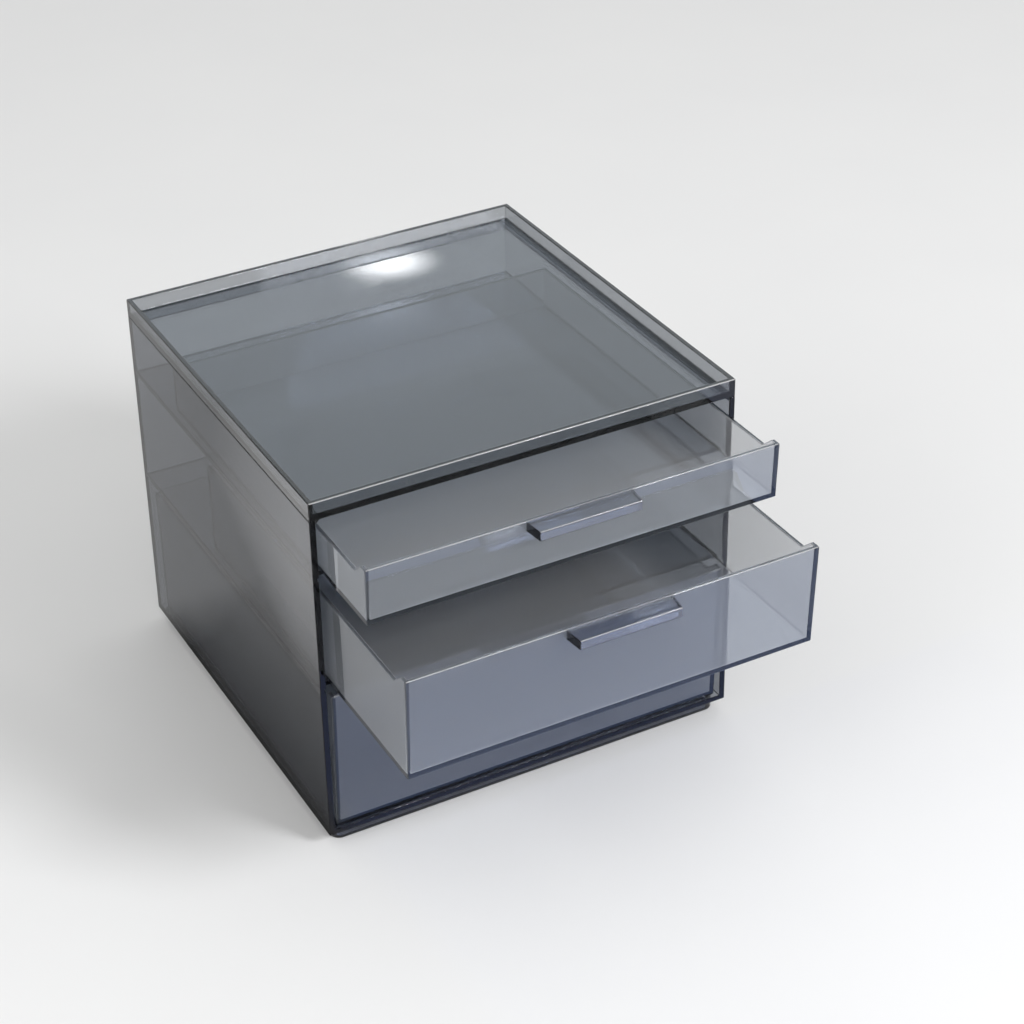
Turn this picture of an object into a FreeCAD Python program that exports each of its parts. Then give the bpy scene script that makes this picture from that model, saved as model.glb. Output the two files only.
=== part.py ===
import FreeCAD, Part
import Sketcher
import math
import os

# Cosmetic organizer: a clear moulded case with a tray on top and three drawers that slide out of the front.
# Millimetres. +Z is up, the drawers open towards -Y, and X = 0 is the middle of the case.
# The origin is on the table, under the middle of the base frame's front bar.
# Inside each piece, y = 0 is the front plane of the case and the drawers are drawn shut.

sizes = {
    # case, seen from above: a little narrower at the back
    "front_width": 210.0,
    "back_width": 205.6,
    "depth": 209.0,
    "wall": 2.9,
    "case_floor": 2.6,
    # clear heights of the three bays and the shelves between them
    "lower_bay": 76.3,
    "middle_bay": 55.8,
    "upper_bay": 28.9,
    "shelf": 2.0,
    "shelf_setback": 5.0,
    "groove_depth": 0.8,
    # tray on top
    "tray_floor": 2.3,
    "rim_depth": 6.6,
    "rim_wall": 2.3,
    "corner_rail": 2.0,
    # base frame, made to nest in the tray of another organizer
    "nest_side_gap": 1.0,
    "nest_height_gap": 0.3,
    "foot_bar": 4.0,
    "foot_corner": 5.0,
    # drawers
    "drawer_wall": 1.8,
    "drawer_front": 2.0,
    "drawer_floor": 1.8,
    "front_recess": 0.6,
    "front_lean": 2.5,
    "side_lean": 0.2,
    "side_drop": 5.6,
    "ear_flat": 4.5,
    "ramp_run": 6.5,
    # how far each drawer stands open
    "upper_open": 43.8,
    "middle_open": 77.2,
    "lower_open": 2.0,
    # pulls
    "pull_width": 52.0,
    "pull_reach": 10.0,
    "pull_thick": 4.7,
    "pull_taper": 1.2,
    "pull_round": 0.4,
    # clearances
    "side_gap": 1.8,
    "back_gap": 1.0,
    "upper_head_gap": 0.8,
    "middle_head_gap": 4.5,
    "lower_head_gap": 2.4,
    "run_gap": 0.3,
    "bond_gap": 0.1,
}

doc = FreeCAD.newDocument("cosmetic_organizer")
dims = doc.addObject("Spreadsheet::Sheet", "dims")
for row, (name, value) in enumerate(sizes.items(), start=1):
    dims.set(f"A{row}", name)
    dims.set(f"B{row}", str(value))
    dims.setAlias(f"B{row}", name)
doc.recompute()

# Places that several pieces share, written as expressions of the sheet.
taper = "((dims.front_width - dims.back_width) / 2 / dims.depth)"
# a drawer is never wider than the mouth that it passes
drawer_taper = f"max(0; {taper})"
foot_height = "(dims.rim_depth - dims.nest_height_gap)"
foot_inset = "(dims.rim_wall + dims.nest_side_gap)"
origin_shift = f"-({foot_inset} + dims.foot_bar / 2)"
case_bottom = f"({foot_height} + dims.bond_gap)"
lower_shelf_bottom = "(dims.case_floor + dims.lower_bay)"
upper_shelf_bottom = f"({lower_shelf_bottom} + dims.shelf + dims.middle_bay)"
wall_top = f"({upper_shelf_bottom} + dims.shelf + dims.upper_bay)"
drawer_inset = "(dims.wall + dims.side_gap)"
drawer_back = "(dims.depth - dims.wall - dims.back_gap)"

bodies = []


def new_body(label, lift, slide="0"):
    body = doc.addObject("PartDesign::Body", label)
    body.Label = label
    body.setExpression("Placement.Base.y", f"{origin_shift} - ({slide})")
    body.setExpression("Placement.Base.z", lift)
    bodies.append(body)
    return body


def outline(body, name, corners, lift="0", role="XY_Plane"):
    """Closed straight-sided sketch whose corners are pairs of expressions."""
    sketch = body.newObject("Sketcher::SketchObject", name)
    plane = next(feature for feature in body.Origin.OriginFeatures if feature.Role == role)
    sketch.AttachmentSupport = [(plane, "")]
    sketch.MapMode = "FlatFace"
    sketch.setExpression("AttachmentOffset.Base.z", lift)
    count = len(corners)
    start = []
    for index in range(count):
        turn = 2 * math.pi * index / count
        start.append(FreeCAD.Vector(math.cos(turn), math.sin(turn), 0))
    for index in range(count):
        sketch.addGeometry(Part.LineSegment(start[index], start[(index + 1) % count]), False)
    for index in range(count):
        sketch.addConstraint(Sketcher.Constraint("Coincident", index, 2, (index + 1) % count, 1))
    for index, corner in enumerate(corners):
        for axis, expression in zip("XY", corner):
            number = sketch.addConstraint(Sketcher.Constraint("Distance" + axis, -1, 1, index, 1, 1.0))
            sketch.renameConstraint(number, f"{axis.lower()}{index}")
            sketch.setExpression(f"Constraints.{axis.lower()}{index}", expression)
    return sketch


def plan(body, name, inset, front, back, lift="0", narrowing=taper):
    """Outline seen from above, drawn in from the sides of the case and running from front to back."""
    half_front = f"(dims.front_width / 2 - ({inset}) - ({front}) * {narrowing})"
    half_back = f"(dims.front_width / 2 - ({inset}) - ({back}) * {narrowing})"
    corners = [
        (f"-{half_front}", front),
        (half_front, front),
        (half_back, back),
        (f"-{half_back}", back),
    ]
    return outline(body, name, corners, lift)


def pad(body, name, sketch, length):
    feature = body.newObject("PartDesign::Pad", name)
    feature.Profile = sketch
    feature.setExpression("Length", length)
    return feature


def pocket(body, name, sketch, length, upwards=False):
    feature = body.newObject("PartDesign::Pocket", name)
    feature.Profile = sketch
    feature.setExpression("Length", length)
    feature.Reversed = upwards
    return feature


def loft(body, kind, name, lower, upper):
    feature = body.newObject("PartDesign::" + kind, name)
    feature.Profile = lower
    feature.Sections = [upper]
    feature.Ruled = True
    return feature


def round_edges(body, name, base, radius, chosen):
    doc.recompute()
    edges = []
    for index, edge in enumerate(base.Shape.Edges, start=1):
        if chosen(edge):
            edges.append(f"Edge{index}")
    feature = body.newObject("PartDesign::Fillet", name)
    feature.Base = (base, edges)
    feature.setExpression("Radius", radius)
    return feature


def upright(edge):
    return abs(edge.tangentAt(edge.FirstParameter).z) > 0.999


def make_case_shell():
    body = new_body("case_shell", case_bottom)
    outside = plan(body, "shell_outside", "0", "0", "dims.depth")
    pad(body, "shell_block", outside, wall_top)
    inside = plan(body, "shell_inside", "dims.wall", "-dims.wall", "dims.depth - dims.wall", wall_top)
    pocket(body, "shell_hollow", inside, f"{wall_top} - dims.case_floor")
    # each shelf slides into a groove in the side and back walls
    for name, shelf_bottom in (("lower", lower_shelf_bottom), ("upper", upper_shelf_bottom)):
        groove = plan(
            body,
            name + "_groove_plan",
            "dims.wall - dims.groove_depth",
            "-dims.wall",
            "dims.depth - dims.wall + dims.groove_depth",
            f"{shelf_bottom} - dims.bond_gap",
        )
        pocket(body, name + "_groove", groove, "dims.shelf + 2 * dims.bond_gap", upwards=True)


def make_top_tray():
    body = new_body("top_tray", f"{case_bottom} + {wall_top} + dims.bond_gap")
    height = "dims.tray_floor + dims.rim_depth"
    outside = plan(body, "tray_outside", "0", "0", "dims.depth")
    pad(body, "tray_block", outside, height)
    inside = plan(body, "tray_inside", "dims.rim_wall", "dims.rim_wall", "dims.depth - dims.rim_wall", height)
    pocket(body, "tray_recess", inside, "dims.rim_depth")
    # a three-cornered rail under each side seats the tray between the walls
    rail_inset = "(dims.wall + dims.bond_gap)"
    rail_back = "(dims.depth - dims.wall - dims.bond_gap)"
    for side, sign in (("left", "-"), ("right", "")):
        sections = []
        for place, depth in (("front", "0"), ("rear", rail_back)):
            edge = f"(dims.front_width / 2 - {rail_inset} - ({depth}) * {taper})"
            corners = [
                (f"{sign}{edge}", "0"),
                (f"{sign}{edge}", "-dims.corner_rail"),
                (f"{sign}({edge} - dims.corner_rail)", "0"),
            ]
            name = f"{side}_rail_{place}"
            sections.append(outline(body, name, corners, f"-({depth})", "XZ_Plane"))
        loft(body, "AdditiveLoft", side + "_rail", *sections)


def make_shelf(label, shelf_bottom):
    body = new_body(label, f"{case_bottom} + {shelf_bottom}")
    shape = plan(
        body,
        label + "_plan",
        "dims.wall - dims.groove_depth + dims.bond_gap",
        "dims.shelf_setback",
        "dims.depth - dims.wall + dims.groove_depth - dims.bond_gap",
    )
    pad(body, label + "_plate", shape, "dims.shelf")


def make_base_frame():
    body = new_body("base_frame", "0")
    outside = plan(body, "foot_outside", foot_inset, foot_inset, f"dims.depth - {foot_inset}")
    block = pad(body, "foot_block", outside, foot_height)
    round_edges(body, "foot_corners", block, "dims.foot_corner", upright)
    inset = f"({foot_inset} + dims.foot_bar)"
    inside = plan(body, "foot_inside", inset, inset, f"dims.depth - {inset}", foot_height)
    pocket(body, "foot_opening", inside, foot_height)


def drawer_plan(body, name, height, level, thickness_front="0", thickness="0"):
    """The drawer's outline at a level: its front and sides lean in towards the bottom."""
    drop = f"({height} - ({level}))"
    front_in = f"{drop} * tan(dims.front_lean * 1 deg)"
    side_in = f"{drop} * tan(dims.side_lean * 1 deg)"
    return plan(
        body,
        name,
        f"{drawer_inset} + {side_in} + {thickness}",
        f"dims.front_recess + {front_in} + {thickness_front}",
        f"{drawer_back} - {side_in} - {thickness}",
        level,
        drawer_taper,
    )


def make_drawer(name, bay_floor):
    height = f"(dims.{name}_bay - dims.run_gap - dims.{name}_head_gap)"
    bottom = f"{case_bottom} + {bay_floor} + dims.run_gap"
    slide = f"dims.{name}_open"
    body = new_body(name + "_drawer_box", bottom, slide)
    outside_low = drawer_plan(body, name + "_outside_low", height, "0")
    outside_high = drawer_plan(body, name + "_outside_high", height, height)
    loft(body, "AdditiveLoft", name + "_block", outside_low, outside_high)
    walls = ("dims.drawer_front", "dims.drawer_wall")
    inside_low = drawer_plan(body, name + "_inside_low", height, "dims.drawer_floor", *walls)
    inside_high = drawer_plan(body, name + "_inside_high", height, height, *walls)
    loft(body, "SubtractiveLoft", name + "_hollow", inside_low, inside_high)
    # side and back walls are lower than the front and ramp up to it
    ear_end = "(dims.front_recess + dims.ear_flat)"
    side_top = f"({height} - dims.side_drop)"
    above = f"({height} + dims.side_drop)"
    corners = [
        (ear_end, height),
        (f"{ear_end} + dims.ramp_run", side_top),
        ("dims.depth", side_top),
        ("dims.depth", above),
        (ear_end, above),
    ]
    profile = outline(body, name + "_ramp_side", corners, "0", "YZ_Plane")
    cut = pocket(body, name + "_ramp", profile, "2 * dims.front_width")
    cut.Midplane = True

    pull = new_body(name + "_drawer_pull", f"{bottom} + {height} - dims.pull_thick", slide)
    half = "(dims.pull_width / 2)"
    seat = "(dims.front_recess - dims.bond_gap)"
    reach = "(dims.front_recess - dims.pull_reach)"
    corners = [
        (f"-({half} - dims.pull_taper)", reach),
        (f"{half} - dims.pull_taper", reach),
        (half, seat),
        (f"-{half}", seat),
    ]
    shape = outline(pull, name + "_pull_plan", corners)
    bar = pad(pull, name + "_pull_bar", shape, "dims.pull_thick")
    seat_place = dims.front_recess - dims.bond_gap
    round_edges(pull, name + "_pull_round", bar, "dims.pull_round",
                lambda edge: max(vertex.Y for vertex in edge.Vertexes) < seat_place - 0.001)


make_case_shell()
make_top_tray()
make_shelf("upper_shelf", upper_shelf_bottom)
make_shelf("lower_shelf", lower_shelf_bottom)
make_base_frame()
make_drawer("upper", f"{upper_shelf_bottom} + dims.shelf")
make_drawer("middle", f"{lower_shelf_bottom} + dims.shelf")
make_drawer("lower", "dims.case_floor")
doc.recompute()

for item in doc.Objects:
    if "Invalid" in item.State or "Error" in item.State:
        raise RuntimeError(f"{item.Label} failed: {item.State}")
for body in bodies:
    if body.Shape.isNull() or not body.Shape.isValid() or len(body.Shape.Solids) != 1:
        raise RuntimeError(f"{body.Label} is not one valid solid")

os.makedirs("parts", exist_ok=True)
for body in bodies:
    body.Shape.exportStep(f"parts/{body.Label}.step")
    box = body.Shape.BoundBox
    print(f"{body.Label}: {body.Shape.Volume:.0f} mm3, {box.XLength:.2f} x {box.YLength:.2f} x {box.ZLength:.2f}, "
          f"y {box.YMin:.2f} to {box.YMax:.2f}, z {box.ZMin:.2f} to {box.ZMax:.2f}")
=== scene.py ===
import math

import bmesh
import bpy
from mathutils import Matrix, Vector


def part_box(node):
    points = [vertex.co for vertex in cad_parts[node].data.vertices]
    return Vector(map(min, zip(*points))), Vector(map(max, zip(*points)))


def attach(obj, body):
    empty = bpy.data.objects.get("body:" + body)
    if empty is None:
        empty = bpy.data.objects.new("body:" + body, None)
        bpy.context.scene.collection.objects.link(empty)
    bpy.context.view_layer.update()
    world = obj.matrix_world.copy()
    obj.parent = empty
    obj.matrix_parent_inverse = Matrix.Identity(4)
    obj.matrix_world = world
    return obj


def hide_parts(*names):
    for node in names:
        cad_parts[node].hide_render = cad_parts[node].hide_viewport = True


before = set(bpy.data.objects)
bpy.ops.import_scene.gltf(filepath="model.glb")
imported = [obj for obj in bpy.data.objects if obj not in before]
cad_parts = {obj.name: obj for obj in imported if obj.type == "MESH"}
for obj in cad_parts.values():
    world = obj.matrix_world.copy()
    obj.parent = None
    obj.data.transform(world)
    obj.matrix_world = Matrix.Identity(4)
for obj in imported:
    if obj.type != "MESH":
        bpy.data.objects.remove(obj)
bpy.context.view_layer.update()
print("frame: packed organizer loaded")

scene = bpy.context.scene
mm = 0.001


# plastic

caseSmoke = {
    "refraction": 1.6,
    "mirror": (0.42, 0.42, 0.46),   # share and colour of the face-on reflection
    "absorption": (338.0, 322.0, 296.0),   # per metre, so a 2.9 mm wall passes about two fifths
    # the coat is a haze on the drawers' inner faces and a painted highlight on the brows and pull fronts
    "hazeAndPaintedSheen": False,
    "hazeAndSheenRefraction": 3.9,
    "hazeAndSheenRoughness": 0.7,
    "tint": (0.97, 0.975, 0.98),
    "smudgeTint": (0.90, 0.91, 0.92),
    "cleanRoughness": 0.015,
    "smudgedRoughness": 0.07,
    "smudgeScale": 26.0,
    "scratchScale": 900.0,
    "rippleScale": 14.0,
    "rippleHeight": 0.01,
}
baseSmoke = dict(
    caseSmoke,
    mirror=(0.8, 0.8, 0.85),
    absorption=(165.0, 148.0, 108.0),
)
traySmoke = dict(
    caseSmoke,
    refraction=1.5,
    mirror=(1.0, 1.0, 1.0),
    absorption=(304.0, 289.0, 270.0),
    # the tray takes the coat only on its brow, as a painted highlight
    hazeAndPaintedSheen=True,
)
drawerSmoke = dict(
    caseSmoke,
    refraction=1.53,
    mirror=(0.8, 0.88, 1.0),
    absorption=(106.0, 100.0, 89.0),
    tint=(0.925, 0.94, 0.955),
    # the drawers take the coat as a haze inside and as a painted highlight on the brow
    hazeAndPaintedSheen=True,
)
pullSmoke = dict(
    drawerSmoke,
    mirror=(0.7, 0.7, 0.8),
    absorption=(165.0, 158.0, 136.0),
    smudgedRoughness=0.04,
)
handling = {
    "smudgeDetail": 5,
    "smudgeGrain": 0.62,
    "smudgeStart": 0.52,
    "smudgeFull": 0.74,
    "scratchTurn": (0.3, 0.2, 0.6),
    "scratchStretch": (1, 0.03, 0.4),
    "scratchDetail": 2,
    "scratchStart": 0.70,
    "scratchFull": 0.82,
    "scratchStrength": 0.35,
    "rippleDetail": 1,
}


def newGroup(name, inputs, outputs):
    group = bpy.data.node_groups.new(name, "ShaderNodeTree")
    for label, kind, value in inputs:
        socket = group.interface.new_socket(label, in_out="INPUT", socket_type=kind)
        socket.default_value = value
    for label, kind in outputs:
        group.interface.new_socket(label, in_out="OUTPUT", socket_type=kind)
    return group, group.nodes.new("NodeGroupInput"), group.nodes.new("NodeGroupOutput")


def makeHandledGloss():
    # polished plastic that hands have touched: soft smudges, hairline scratches and a slight moulding ripple
    group, given, result = newGroup(
        "handledGloss",
        [
            ("Clean Tint", "NodeSocketColor", (1, 1, 1, 1)),
            ("Smudge Tint", "NodeSocketColor", (0.9, 0.9, 0.9, 1)),
            ("Clean Roughness", "NodeSocketFloat", 0.02),
            ("Smudged Roughness", "NodeSocketFloat", 0.08),
            ("Smudge Scale", "NodeSocketFloat", 26.0),
            ("Scratch Scale", "NodeSocketFloat", 900.0),
            ("Ripple Scale", "NodeSocketFloat", 45.0),
        ],
        [
            ("Tint", "NodeSocketColor"),
            ("Roughness", "NodeSocketFloat"),
            ("Height", "NodeSocketFloat"),
        ],
    )
    nodes, links = group.nodes, group.links
    place = nodes.new("ShaderNodeTexCoord")

    smudge = nodes.new("ShaderNodeTexNoise")
    smudge.inputs["Detail"].default_value = handling["smudgeDetail"]
    smudge.inputs["Roughness"].default_value = handling["smudgeGrain"]
    links.new(place.outputs["Object"], smudge.inputs["Vector"])
    links.new(given.outputs["Smudge Scale"], smudge.inputs["Scale"])
    smudgeMask = nodes.new("ShaderNodeMapRange")
    smudgeMask.interpolation_type = "SMOOTHSTEP"
    smudgeMask.inputs["From Min"].default_value = handling["smudgeStart"]
    smudgeMask.inputs["From Max"].default_value = handling["smudgeFull"]
    links.new(smudge.outputs["Fac"], smudgeMask.inputs["Value"])

    stretch = nodes.new("ShaderNodeMapping")
    stretch.inputs["Rotation"].default_value = handling["scratchTurn"]
    stretch.inputs["Scale"].default_value = handling["scratchStretch"]
    links.new(place.outputs["Object"], stretch.inputs["Vector"])
    scratch = nodes.new("ShaderNodeTexNoise")
    scratch.inputs["Detail"].default_value = handling["scratchDetail"]
    links.new(stretch.outputs["Vector"], scratch.inputs["Vector"])
    links.new(given.outputs["Scratch Scale"], scratch.inputs["Scale"])
    scratchMask = nodes.new("ShaderNodeMapRange")
    scratchMask.inputs["From Min"].default_value = handling["scratchStart"]
    scratchMask.inputs["From Max"].default_value = handling["scratchFull"]
    scratchMask.inputs["To Max"].default_value = handling["scratchStrength"]
    links.new(scratch.outputs["Fac"], scratchMask.inputs["Value"])

    worn = nodes.new("ShaderNodeMath")
    worn.operation = "MAXIMUM"
    links.new(smudgeMask.outputs["Result"], worn.inputs[0])
    links.new(scratchMask.outputs["Result"], worn.inputs[1])

    tint = nodes.new("ShaderNodeMix")
    tint.data_type = "RGBA"
    links.new(worn.outputs["Value"], tint.inputs["Factor"])
    links.new(given.outputs["Clean Tint"], tint.inputs["A"])
    links.new(given.outputs["Smudge Tint"], tint.inputs["B"])
    links.new(tint.outputs["Result"], result.inputs["Tint"])

    gloss = nodes.new("ShaderNodeMapRange")
    links.new(worn.outputs["Value"], gloss.inputs["Value"])
    links.new(given.outputs["Clean Roughness"], gloss.inputs["To Min"])
    links.new(given.outputs["Smudged Roughness"], gloss.inputs["To Max"])
    links.new(gloss.outputs["Result"], result.inputs["Roughness"])

    ripple = nodes.new("ShaderNodeTexNoise")
    ripple.inputs["Detail"].default_value = handling["rippleDetail"]
    links.new(place.outputs["Object"], ripple.inputs["Vector"])
    links.new(given.outputs["Ripple Scale"], ripple.inputs["Scale"])
    links.new(ripple.outputs["Fac"], result.inputs["Height"])
    return group


handledGloss = makeHandledGloss()


def makePlastic(name, look):
    material = bpy.data.materials.new(name)
    material.use_nodes = True
    nodes, links = material.node_tree.nodes, material.node_tree.links
    shader = nodes["Principled BSDF"]
    output = nodes["Material Output"]
    shader.inputs["Metallic"].default_value = 0
    shader.inputs["Transmission Weight"].default_value = 1
    shader.inputs["IOR"].default_value = look["refraction"]
    shader.inputs["Specular Tint"].default_value = (*look["mirror"], 1)

    gloss = nodes.new("ShaderNodeGroup")
    gloss.node_tree = handledGloss
    gloss.inputs["Clean Tint"].default_value = (*look["tint"], 1)
    gloss.inputs["Smudge Tint"].default_value = (*look["smudgeTint"], 1)
    gloss.inputs["Clean Roughness"].default_value = look["cleanRoughness"]
    gloss.inputs["Smudged Roughness"].default_value = look["smudgedRoughness"]
    gloss.inputs["Smudge Scale"].default_value = look["smudgeScale"]
    gloss.inputs["Scratch Scale"].default_value = look["scratchScale"]
    gloss.inputs["Ripple Scale"].default_value = look["rippleScale"]
    links.new(gloss.outputs["Tint"], shader.inputs["Base Color"])
    links.new(gloss.outputs["Roughness"], shader.inputs["Roughness"])
    bump = nodes.new("ShaderNodeBump")
    bump.inputs["Strength"].default_value = look["rippleHeight"]
    bump.inputs["Distance"].default_value = 1 * mm
    links.new(gloss.outputs["Height"], bump.inputs["Height"])
    links.new(bump.outputs["Normal"], shader.inputs["Normal"])

    # coat where the mask is set: haze inside the drawers, painted highlight and sheen on the brows and pull
    # fronts
    if look["hazeAndPaintedSheen"]:
        hazeAndPaintedSheen = nodes.new("ShaderNodeAttribute")
        hazeAndPaintedSheen.attribute_name = "hazeAndPaintedSheen"
        links.new(hazeAndPaintedSheen.outputs["Fac"], shader.inputs["Coat Weight"])
        shader.inputs["Coat IOR"].default_value = look["hazeAndSheenRefraction"]
        shader.inputs["Coat Roughness"].default_value = look["hazeAndSheenRoughness"]

    smoke = nodes.new("ShaderNodeVolumeAbsorption")
    density = 2 * max(look["absorption"])   # leaves every share of the colour between a half and one
    smoke.inputs["Color"].default_value = (*(1 - taken / density for taken in look["absorption"]), 1)
    smoke.inputs["Density"].default_value = density
    links.new(smoke.outputs["Volume"], output.inputs["Volume"])
    return material


caseMaterial = makePlastic("caseSmoke", caseSmoke)
baseMaterial = makePlastic("baseSmoke", baseSmoke)
trayMaterial = makePlastic("traySmoke", traySmoke)
drawerMaterial = makePlastic("drawerSmoke", drawerSmoke)
pullMaterial = makePlastic("pullSmoke", pullSmoke)
print("plastic: smoke materials ready")


# mouldings

moulding = {
    "edgeSegments": 3,
    "edgeProfile": 0.5,   # round
    "sharpAngle": math.radians(30),
    "flatAngle": math.radians(0.3),
    "mergeDistance": 0.002 * mm,
    "browTilt": Vector((0, -1, 1)).normalized(),   # the brow is the rounded edge between a front and its top
    "browSquareness": 0.85,
    "browDepth": 1 * mm,
}
mouldedPieces = {
    "caseShell": ("case_shell", "case", caseMaterial, 0.35 * mm),
    "topTray": ("top_tray", "case", trayMaterial, 0.45 * mm),
    "upperShelf": ("upper_shelf", "case", caseMaterial, 0.3 * mm),
    "lowerShelf": ("lower_shelf", "case", caseMaterial, 0.3 * mm),
    "baseFrame": ("base_frame", "case", baseMaterial, 0.5 * mm),
    "upperDrawer": ("upper_drawer_box", "upper_drawer", drawerMaterial, 0.45 * mm),
    "middleDrawer": ("middle_drawer_box", "middle_drawer", drawerMaterial, 0.45 * mm),
    "lowerDrawer": ("lower_drawer_box", "lower_drawer", drawerMaterial, 0.45 * mm),
}


def linkPiece(name, mesh, material):
    mesh.materials.clear()
    mesh.materials.append(material)
    piece = bpy.data.objects.new(name, mesh)
    scene.collection.objects.link(piece)
    return piece


def bakeModifiers(piece, material):
    graph = bpy.context.evaluated_depsgraph_get()
    mesh = bpy.data.meshes.new_from_object(piece.evaluated_get(graph))
    mesh.materials.clear()   # one slot, so the rounded edges take the same plastic as the faces
    mesh.materials.append(material)
    piece.modifiers.clear()
    piece.data = mesh


def roundEdges(mesh, radius):
    # faces are first merged into flat panels, and only the rounded edges between them are shaded smooth
    panels = bmesh.new()
    panels.from_mesh(mesh)
    bmesh.ops.remove_doubles(panels, verts=panels.verts, dist=moulding["mergeDistance"])
    bmesh.ops.dissolve_limit(
        panels, angle_limit=moulding["flatAngle"], verts=panels.verts, edges=panels.edges
    )
    for face in panels.faces:
        face.smooth = False
    sharp = [edge for edge in panels.edges if edge.calc_face_angle(0) > moulding["sharpAngle"]]
    rounded = bmesh.ops.bevel(
        panels, geom=sharp, offset=radius, offset_type="OFFSET", segments=moulding["edgeSegments"],
        profile=moulding["edgeProfile"], affect="EDGES", clamp_overlap=True
    )
    for face in rounded["faces"]:
        face.smooth = True
    panels.to_mesh(mesh)
    panels.free()


def markHazeAndSheen(mesh, hazeAndSheenOf):
    # a rough coat: a soft haze on the less polished inner faces of the drawers, a painted highlight on the
    # brows and a painted sheen on the pull fronts
    hazeAndPaintedSheen = mesh.attributes.new("hazeAndPaintedSheen", "FLOAT", "FACE")
    for face in mesh.polygons:
        hazeAndPaintedSheen.data[face.index].value = float(hazeAndSheenOf(face))


# the brow takes the coat as a painted highlight along the top edge of a front
def onBrow(face, frontY):
    leaning = face.normal.dot(moulding["browTilt"]) > moulding["browSquareness"]
    return leaning and face.center.y < frontY + moulding["browDepth"]


def makeMoulding(name, node, material, radius):
    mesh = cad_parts[node].data.copy()
    mesh.name = name
    roundEdges(mesh, radius)
    low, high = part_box(node)
    centre = (low + high) / 2
    hazy = material is drawerMaterial   # the drawers' inner faces

    # haze on the drawers' inner faces, painted highlight on the brow
    def hazeAndSheenOf(face):
        inner = face.normal.dot(centre - face.center) > 0
        return onBrow(face, low.y) or hazy and inner

    markHazeAndSheen(mesh, hazeAndSheenOf)
    return linkPiece(name, mesh, material)


for name, (node, body, material, radius) in mouldedPieces.items():
    piece = makeMoulding(name, node, material, radius)
    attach(piece, body)
    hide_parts(node)
    print("moulding:", name, len(piece.data.polygons), "faces")


# pulls

barPull = {
    "taper": 1.2 * mm,
    "cornerRadius": 0.6 * mm,
    "cornerSteps": 4,
    "edgeRadius": 0.35 * mm,
    # share of the coat on the pull's front: a painted sheen
    "paintedFrontSheen": 0.4,
    "frontSquareness": 0.95,   # faces this square to the front count as the front
    "bond": 0.35 * mm,   # the bar runs this far into the drawer front, so no air shows in the joint
}


def makeBarPullTree():
    tree = bpy.data.node_groups.new("barPull", "GeometryNodeTree")
    sockets = {}
    for label in ("Back Width", "Front Width", "Reach", "Thickness", "Corner Radius"):
        sockets[label] = tree.interface.new_socket(label, in_out="INPUT", socket_type="NodeSocketFloat")
    for label, kind in (("Corner Steps", "NodeSocketInt"), ("Place", "NodeSocketVector"),
                        ("Plastic", "NodeSocketMaterial")):
        sockets[label] = tree.interface.new_socket(label, in_out="INPUT", socket_type=kind)
    tree.interface.new_socket("Geometry", in_out="OUTPUT", socket_type="NodeSocketGeometry")
    nodes, links = tree.nodes, tree.links
    given = nodes.new("NodeGroupInput")

    plan = nodes.new("GeometryNodeCurvePrimitiveQuadrilateral")
    plan.mode = "TRAPEZOID"
    plan.inputs["Offset"].default_value = 0
    links.new(given.outputs["Reach"], plan.inputs["Height"])
    links.new(given.outputs["Front Width"], plan.inputs["Bottom Width"])
    links.new(given.outputs["Back Width"], plan.inputs["Top Width"])

    rounded = nodes.new("GeometryNodeFilletCurve")
    rounded.mode = "POLY"
    links.new(plan.outputs["Curve"], rounded.inputs["Curve"])
    links.new(given.outputs["Corner Steps"], rounded.inputs["Count"])
    links.new(given.outputs["Corner Radius"], rounded.inputs["Radius"])

    face = nodes.new("GeometryNodeFillCurve")
    face.mode = "NGONS"
    links.new(rounded.outputs["Curve"], face.inputs["Curve"])
    under = nodes.new("GeometryNodeFlipFaces")
    links.new(face.outputs["Mesh"], under.inputs["Mesh"])

    lift = nodes.new("ShaderNodeCombineXYZ")
    links.new(given.outputs["Thickness"], lift.inputs["Z"])
    bar = nodes.new("GeometryNodeExtrudeMesh")
    bar.mode = "FACES"
    bar.inputs["Individual"].default_value = False
    links.new(face.outputs["Mesh"], bar.inputs["Mesh"])
    links.new(lift.outputs["Vector"], bar.inputs["Offset"])

    closed = nodes.new("GeometryNodeJoinGeometry")
    links.new(bar.outputs["Mesh"], closed.inputs["Geometry"])
    links.new(under.outputs["Mesh"], closed.inputs["Geometry"])
    merged = nodes.new("GeometryNodeMergeByDistance")
    merged.inputs["Distance"].default_value = moulding["mergeDistance"]
    links.new(closed.outputs["Geometry"], merged.inputs["Geometry"])

    placed = nodes.new("GeometryNodeTransform")
    links.new(merged.outputs["Geometry"], placed.inputs["Geometry"])
    links.new(given.outputs["Place"], placed.inputs["Translation"])
    real = nodes.new("GeometryNodeRealizeInstances")
    links.new(placed.outputs["Geometry"], real.inputs["Geometry"])
    painted = nodes.new("GeometryNodeSetMaterial")
    links.new(real.outputs["Geometry"], painted.inputs["Geometry"])
    links.new(given.outputs["Plastic"], painted.inputs["Material"])
    result = nodes.new("NodeGroupOutput")
    links.new(painted.outputs["Geometry"], result.inputs["Geometry"])
    return tree, {label: socket.identifier for label, socket in sockets.items()}


barPullTree, barPullSockets = makeBarPullTree()


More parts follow.
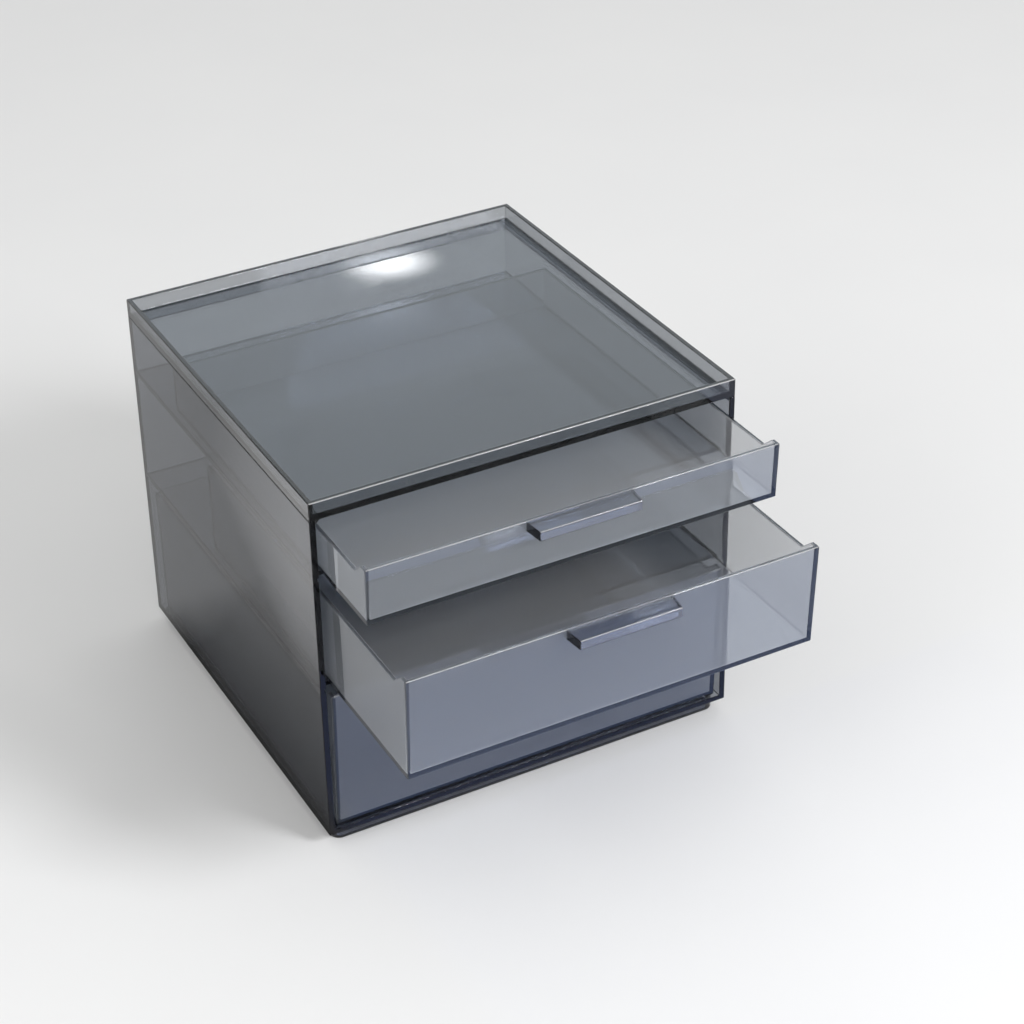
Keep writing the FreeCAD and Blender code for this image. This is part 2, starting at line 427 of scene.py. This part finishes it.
def makePull(name, node):
    low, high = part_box(node)
    piece = linkPiece(name, bpy.data.meshes.new(name), pullMaterial)
    modifier = piece.modifiers.new("barPull", "NODES")
    modifier.node_group = barPullTree
    backWidth = high.x - low.x
    values = {
        "Back Width": backWidth,
        "Front Width": backWidth - 2 * barPull["taper"],
        "Reach": high.y - low.y + barPull["bond"],
        "Thickness": high.z - low.z,
        "Corner Radius": barPull["cornerRadius"],
        "Corner Steps": barPull["cornerSteps"],
        "Place": Vector(((low.x + high.x) / 2, (low.y + high.y + barPull["bond"]) / 2, low.z)),
        "Plastic": pullMaterial,
    }
    for label, value in values.items():
        modifier[barPullSockets[label]] = value
    bakeModifiers(piece, pullMaterial)
    roundEdges(piece.data, barPull["edgeRadius"])

    # painted highlight on the brow and painted sheen on the front
    def hazeAndSheenOf(face):
        facesFront = face.normal.y < -barPull["frontSquareness"]
        return onBrow(face, low.y) or barPull["paintedFrontSheen"] * facesFront

    markHazeAndSheen(piece.data, hazeAndSheenOf)
    return piece


for level in ("upper", "middle", "lower"):
    node = level + "_drawer_pull"
    piece = makePull(level + "Pull", node)
    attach(piece, level + "_drawer")
    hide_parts(node)
    print("pull:", piece.name, len(piece.data.polygons), "faces")


# floor and light

studio = {
    "floorRadius": 3.0,
    "floorSegments": 96,
    "floorColour": (0.80, 0.80, 0.79),
    "floorMottle": (0.77, 0.77, 0.765),
    "floorRoughness": 0.55,
    "floorGloss": 0.2,
    "mottleScale": 9,
    "mottleDetail": 4,
    "fadeStart": 1.6,
    "fadeEnd": 2.9,
    "seenSky": 0.85,
    "skyLight": 0.66,
    "aim": Vector((0, 0.05, 0.09)),   # the softboxes face this point
    "key": {"place": (0.95, -1.45, 1.25), "size": (0.6, 0.6), "power": 32.5, "colour": (0.965, 0.97, 1)},
    "leftFill": {"place": (-1.5, -0.3, 1.0), "size": (1.2, 0.9), "power": 9.5, "colour": (1, 1, 1)},
    "backSheet": {"place": (0.75, 1.6, 1.25), "size": (1.6, 1.2), "power": 3.5, "colour": (0.74, 0.9, 1),
                  "lightsFloor": False},
    "glint": {"place": (0.673, 1.559, 0.946), "size": (0.14, 0.05), "power": 0.2, "colour": (1, 1, 1),
              "lightsFloor": False, "softEdge": True},   # shows as a small streak at the back of the tray
}


def makeFloorMaterial():
    material = bpy.data.materials.new("paleTable")
    material.use_nodes = True
    nodes, links = material.node_tree.nodes, material.node_tree.links
    shader = nodes["Principled BSDF"]
    shader.inputs["Roughness"].default_value = studio["floorRoughness"]
    shader.inputs["Specular IOR Level"].default_value = studio["floorGloss"]
    place = nodes.new("ShaderNodeTexCoord")
    mottle = nodes.new("ShaderNodeTexNoise")
    mottle.inputs["Scale"].default_value = studio["mottleScale"]
    mottle.inputs["Detail"].default_value = studio["mottleDetail"]
    links.new(place.outputs["Object"], mottle.inputs["Vector"])
    colour = nodes.new("ShaderNodeMix")
    colour.data_type = "RGBA"
    colour.inputs["A"].default_value = (*studio["floorColour"], 1)
    colour.inputs["B"].default_value = (*studio["floorMottle"], 1)
    links.new(mottle.outputs["Fac"], colour.inputs["Factor"])
    links.new(colour.outputs["Result"], shader.inputs["Base Color"])

    # the floor thins out before its rim, so no horizon line shows
    distance = nodes.new("ShaderNodeVectorMath")
    distance.operation = "LENGTH"
    links.new(place.outputs["Object"], distance.inputs[0])
    fade = nodes.new("ShaderNodeMapRange")
    fade.interpolation_type = "SMOOTHSTEP"
    fade.inputs["From Min"].default_value = studio["fadeStart"]
    fade.inputs["From Max"].default_value = studio["fadeEnd"]
    links.new(distance.outputs["Value"], fade.inputs["Value"])
    clear = nodes.new("ShaderNodeBsdfTransparent")
    mix = nodes.new("ShaderNodeMixShader")
    links.new(fade.outputs["Result"], mix.inputs["Fac"])
    links.new(shader.outputs["BSDF"], mix.inputs[1])
    links.new(clear.outputs["BSDF"], mix.inputs[2])
    links.new(mix.outputs["Shader"], nodes["Material Output"].inputs["Surface"])
    return material


def makeFloor():
    disc = bmesh.new()
    bmesh.ops.create_circle(
        disc, cap_ends=True, segments=studio["floorSegments"], radius=studio["floorRadius"]
    )
    mesh = bpy.data.meshes.new("tableTop")
    disc.to_mesh(mesh)
    disc.free()
    linkPiece("tableTop", mesh, makeFloorMaterial())


def makeSky():
    # rays that the eye follows see a white room, and light falls from a softer sky
    world = bpy.data.worlds.new("whiteRoom")
    scene.world = world
    world.use_nodes = True
    nodes, links = world.node_tree.nodes, world.node_tree.links
    output = nodes["World Output"]
    light = nodes["Background"]
    light.inputs["Color"].default_value = (1, 1, 1, 1)
    light.inputs["Strength"].default_value = studio["skyLight"]
    seen = nodes.new("ShaderNodeBackground")
    seen.inputs["Color"].default_value = (1, 1, 1, 1)
    seen.inputs["Strength"].default_value = studio["seenSky"]
    path = nodes.new("ShaderNodeLightPath")
    either = nodes.new("ShaderNodeMath")
    either.operation = "MAXIMUM"
    links.new(path.outputs["Is Camera Ray"], either.inputs[0])
    links.new(path.outputs["Is Glossy Ray"], either.inputs[1])
    followed = nodes.new("ShaderNodeMath")
    followed.operation = "MAXIMUM"
    links.new(either.outputs["Value"], followed.inputs[0])
    links.new(path.outputs["Is Transmission Ray"], followed.inputs[1])
    mix = nodes.new("ShaderNodeMixShader")
    links.new(followed.outputs["Value"], mix.inputs["Fac"])
    links.new(light.outputs["Background"], mix.inputs[1])
    links.new(seen.outputs["Background"], mix.inputs[2])
    links.new(mix.outputs["Shader"], output.inputs["Surface"])


# Soft-edged glowing cards on the table, which only reflections see: painted reflections, not lamps. The dark
# one is a painted shadow and the light one a painted highlight, which make the left side deepen towards its
# foot, and the blue one is a painted bluish reflection that gives the fronts their tone. Each row across and
# along the card lists places in metres, with the card's share there.
paintedReflectionCards = {
    # a near-black card beside the left wall: painted shadow in the left side's reflection
    "paintedShadowCard": {
        "across": ((-0.106, 0.78), (-0.12, 0.56), (-0.165, 0)),
        "along": ((-0.01, 1), (0.17, 1), (0.215, 0)),
        "slant": 0.0,
        "lift": 0.5 * mm,
        "glow": 0.01,
        "colour": (1, 1, 1),
    },
    # a glowing card further out: painted highlight in the left side's reflection
    "paintedHighlightCard": {
        "across": ((-0.145, 0), (-0.18, 1), (-0.23, 1)),
        "along": ((0.097, 1), (0.125, 1), (0.245, 0)),
        "slant": 2.32,   # keeps it out of the drawers' sides
        "lift": 1 * mm,
        "glow": 1.2,
        "colour": (1, 1, 1),
    },
    # a blue glowing card in front: painted bluish reflection in the drawer fronts
    "paintedBlueReflectionCard": {
        "across": ((-0.1, 0), (-0.085, 1), (0.22, 1), (0.32, 0)),
        "along": ((-0.42, 0), (-0.3, 1), (-0.012, 1)),
        "slant": 0.0,
        "lift": 0.5 * mm,
        "glow": 1.15,
        "colour": (0.52, 0.62, 1),
    },
}


def makeCardMesh(name, look):
    # a grid of points, each with the card's share there
    firstX = look["across"][0][0]
    points = []
    shares = []
    for x, acrossShare in look["across"]:
        for y, alongShare in look["along"]:
            points.append((x, y + look["slant"] * (firstX - x), look["lift"]))
            shares.append(acrossShare * alongShare)
    row = len(look["along"])
    faces = []
    for column in range(len(look["across"]) - 1):
        for step in range(row - 1):
            corner = column * row + step
            faces.append((corner, corner + 1, corner + row + 1, corner + row))
    mesh = bpy.data.meshes.new(name)
    mesh.from_pydata(points, [], faces)
    mesh.attributes.new("share", "FLOAT", "POINT").data.foreach_set("value", shares)
    return mesh


def makeCardMaterial(name, look):
    material = bpy.data.materials.new(name)
    material.use_nodes = True
    nodes, links = material.node_tree.nodes, material.node_tree.links
    share = nodes.new("ShaderNodeAttribute")
    share.attribute_name = "share"
    clear = nodes.new("ShaderNodeBsdfTransparent")
    # the card's glow is painted light or shade, seen only in reflections
    lit = nodes.new("ShaderNodeEmission")
    lit.inputs["Color"].default_value = (*look["colour"], 1)
    lit.inputs["Strength"].default_value = look["glow"]
    mix = nodes.new("ShaderNodeMixShader")
    links.new(share.outputs["Fac"], mix.inputs["Fac"])
    links.new(clear.outputs["BSDF"], mix.inputs[1])
    links.new(lit.outputs["Emission"], mix.inputs[2])
    links.new(mix.outputs["Shader"], nodes["Material Output"].inputs["Surface"])
    return material


def makePaintedReflectionCard(name, look):
    card = linkPiece(name, makeCardMesh(name, look), makeCardMaterial(name, look))
    # hidden from the camera, diffuse light, refraction and shadows, so the card shows only as a painted
    # reflection
    card.visible_camera = False
    card.visible_diffuse = False
    card.visible_transmission = False
    card.visible_shadow = False


def softenEdge(lamp):
    # the lamp glows most in its middle and fades out towards its rim; its own coordinates run from 0 to 1
    lampMiddle = (0.5, 0.5, 0)
    rimReach = 0.5
    lamp.use_nodes = True
    nodes, links = lamp.node_tree.nodes, lamp.node_tree.links
    surface = nodes.new("ShaderNodeNewGeometry")
    reach = nodes.new("ShaderNodeVectorMath")
    reach.operation = "DISTANCE"
    reach.inputs[1].default_value = lampMiddle
    links.new(surface.outputs["Parametric"], reach.inputs[0])
    fade = nodes.new("ShaderNodeMapRange")
    fade.interpolation_type = "SMOOTHSTEP"
    fade.inputs["From Max"].default_value = rimReach
    fade.inputs["To Min"].default_value = 1
    fade.inputs["To Max"].default_value = 0
    links.new(reach.outputs["Value"], fade.inputs["Value"])
    links.new(fade.outputs["Result"], nodes["Emission"].inputs["Strength"])


def makeSoftbox(name):
    box = studio[name]
    lamp = bpy.data.lights.new(name, "AREA")
    lamp.shape = "RECTANGLE"
    lamp.size, lamp.size_y = box["size"]
    lamp.energy = box["power"]
    lamp.color = box["colour"]
    if box.get("softEdge"):
        softenEdge(lamp)
    holder = bpy.data.objects.new(name, lamp)
    holder.location = box["place"]
    holder.rotation_euler = (studio["aim"] - Vector(box["place"])).to_track_quat("-Z", "Y").to_euler()
    holder.visible_diffuse = box.get("lightsFloor", True)
    scene.collection.objects.link(holder)


makeFloor()
makeSky()
for name, look in paintedReflectionCards.items():
    makePaintedReflectionCard(name, look)
for softbox in ("key", "leftFill", "backSheet", "glint"):
    makeSoftbox(softbox)
print("studio: floor, sky, cards and softboxes set")


# camera

camera = {
    "azimuth": -28.17,
    "elevation": 32.46,
    "roll": -0.97,
    "focalPixels": 2599.9,
    "imagePixels": 1024,
    "sensor": 36.0,
    "distance": 1211.8 * mm,
    "aside": -10.21 * mm,
    "above": 117.77 * mm,
    "clipStart": 10 * mm,
}


def makeCamera():
    azimuth, elevation, roll = (math.radians(camera[angle]) for angle in ("azimuth", "elevation", "roll"))
    back = Vector((
        math.sin(azimuth) * math.cos(elevation),
        -math.cos(azimuth) * math.cos(elevation),
        math.sin(elevation),
    ))
    level = Vector((0, 0, 1)).cross(back).normalized()
    upright = back.cross(level)
    right = math.cos(roll) * level + math.sin(roll) * upright
    up = math.cos(roll) * upright - math.sin(roll) * level
    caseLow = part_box("case_shell")[0]
    place = right * camera["aside"] + up * camera["above"] + back * camera["distance"]
    place += Vector((0, caseLow.y, caseLow.z))
    data = bpy.data.cameras.new("photoView")
    data.sensor_width = camera["sensor"]
    data.lens = camera["focalPixels"] / camera["imagePixels"] * camera["sensor"]
    data.clip_start = camera["clipStart"]
    holder = bpy.data.objects.new("photoView", data)
    scene.collection.objects.link(holder)
    turn = Matrix((right, up, back)).transposed().to_4x4()
    holder.matrix_world = Matrix.Translation(place) @ turn
    scene.camera = holder


makeCamera()
scene.view_settings.view_transform = "Standard"
# light crosses many clear walls, so it may bounce often
scene.cycles.max_bounces = 40
scene.cycles.transmission_bounces = 40
scene.cycles.glossy_bounces = 12
scene.cycles.transparent_max_bounces = 32
print("camera: set at the photograph's angle")
